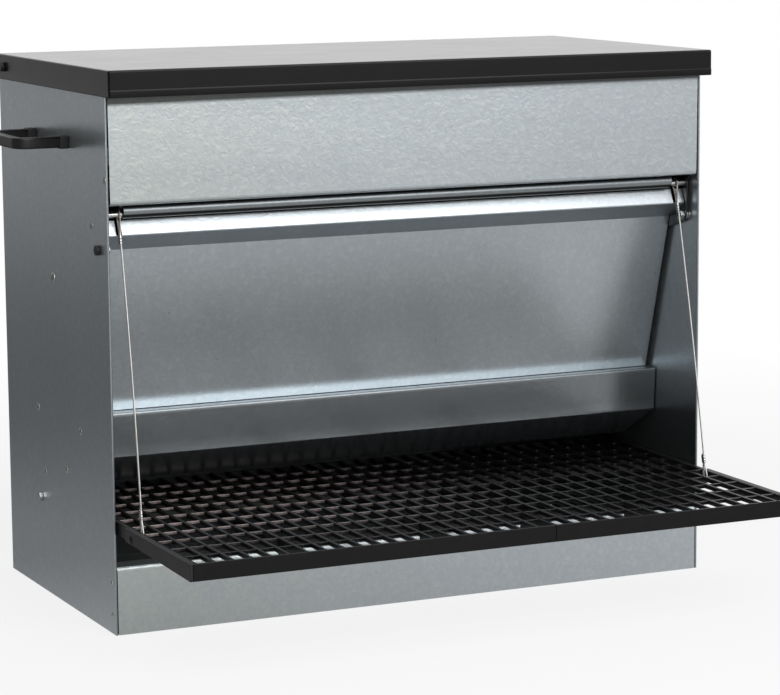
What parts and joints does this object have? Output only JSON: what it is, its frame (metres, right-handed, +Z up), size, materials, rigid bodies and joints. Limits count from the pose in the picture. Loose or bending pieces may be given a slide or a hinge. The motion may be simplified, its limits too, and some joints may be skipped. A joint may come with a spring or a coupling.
{
  "type": "hopper feeder",
  "caption": "Galvanised steel poultry feeder with a top lid, a sloped hopper and a trough behind a flap that a grating treadle opens through two steel ropes.",
  "frame": {"origin": "middle of the case's base panel, on its underside, on the floor", "axes": "+Z up, +X to the feeder's right as seen from the treadle, +Y to its back"},
  "size_m": [0.8166, 0.568, 0.59],
  "materials": {
    "galvanised_sheet": "hot-dip galvanised sheet with a fine spangle, semi-gloss",
    "black_powder_coat": "black powder coat, semi-gloss",
    "black_moulded_plastic": "black moulded plastic, satin",
    "black_steel": "black painted steel, satin",
    "bright_steel": "bright zinc-plated steel"
  },
  "bodies": {
    "case": {"side_panel_left": "galvanised_sheet", "side_panel_right": "galvanised_sheet", "handle_left": "black_moulded_plastic", "handle_right": "black_moulded_plastic", "tie_screw_left": "bright_steel", "tie_screw_right": "bright_steel", "flap_bolt_left": "bright_steel", "flap_bolt_right": "bright_steel", "flap_nut_left": "bright_steel", "flap_nut_right": "bright_steel", "flap_bush_left": "bright_steel", "flap_bush_right": "bright_steel", "treadle_bolt_left": "bright_steel", "treadle_bolt_right": "bright_steel", "treadle_nut_left": "bright_steel", "treadle_nut_right": "bright_steel", "lid_bolt_left": "black_steel", "lid_bolt_right": "black_steel", "lid_nut_left": "bright_steel", "lid_nut_right": "bright_steel", "chute_top_rivet_left": "bright_steel", "chute_top_rivet_right": "bright_steel", "chute_upper_rivet_left": "bright_steel", "chute_upper_rivet_right": "bright_steel", "chute_lower_rivet_left": "bright_steel", "chute_lower_rivet_right": "bright_steel", "trough_lip_rivet_left": "bright_steel", "trough_lip_rivet_right": "bright_steel", "trough_middle_rivet_left": "bright_steel", "trough_middle_rivet_right": "bright_steel", "trough_rear_rivet_left": "bright_steel", "trough_rear_rivet_right": "bright_steel", "back_panel": "galvanised_sheet", "base_panel": "galvanised_sheet", "upper_front_panel": "galvanised_sheet", "lower_front_panel": "galvanised_sheet", "hopper_chute": "galvanised_sheet", "feed_trough": "galvanised_sheet", "hopper_tie_tube": "galvanised_sheet"},
    "lid": {"lid": "black_powder_coat"},
    "flap": {"flap_panel": "galvanised_sheet", "flap_rod": "bright_steel", "flap_ear_left": "galvanised_sheet", "flap_ear_right": "galvanised_sheet"},
    "treadle": {"treadle_side_bar_left": "black_steel", "treadle_side_bar_right": "black_steel", "treadle_arm_left": "black_steel", "treadle_arm_right": "black_steel", "rope_anchor_left": "bright_steel", "rope_anchor_right": "bright_steel", "treadle_rail_front": "black_steel", "treadle_rail_rear": "black_steel", "grating_left": "black_moulded_plastic", "grating_right": "black_moulded_plastic"},
    "rope_left": {"rope_left": "bright_steel", "lower_ferrule_left": "bright_steel", "upper_ferrule_left": "bright_steel"},
    "rope_right": {"rope_right": "bright_steel", "lower_ferrule_right": "bright_steel", "upper_ferrule_right": "bright_steel"}
  },
  "joints": [
    {"name": "treadle_hinge", "type": "hinge", "parent": "case", "child": "treadle", "pos_m": [0, 0.062, 0.105], "axis": [1, 0, 0], "range_deg": [0, 1.33]},
    {"name": "flap_hinge", "type": "hinge", "parent": "case", "child": "flap", "pos_m": [0, -0.1494, 0.4025], "axis": [1, 0, 0], "range_deg": [0, 24]},
    {"name": "rope_left_hinge", "type": "hinge", "parent": "treadle", "child": "rope_left", "pos_m": [-0.335, -0.2205, 0.1106], "axis": [1, 0, 0], "range_deg": [0, 1.21]},
    {"name": "rope_right_hinge", "type": "hinge", "parent": "treadle", "child": "rope_right", "pos_m": [0.335, -0.2205, 0.1106], "axis": [1, 0, 0], "range_deg": [0, 1.21]},
    {"name": "lid_hinge", "type": "hinge", "parent": "case", "child": "lid", "pos_m": [0, 0.152, 0.576], "axis": [-1, 0, 0], "range_deg": [0, 55]}
  ],
  "couplings": [
    {"joint": "flap_hinge", "follows": "treadle_hinge", "ratio": 18.016},
    {"joint": "rope_left_hinge", "follows": "treadle_hinge", "ratio": 0.9109},
    {"joint": "rope_right_hinge", "follows": "treadle_hinge", "ratio": 0.9109}
  ]
}
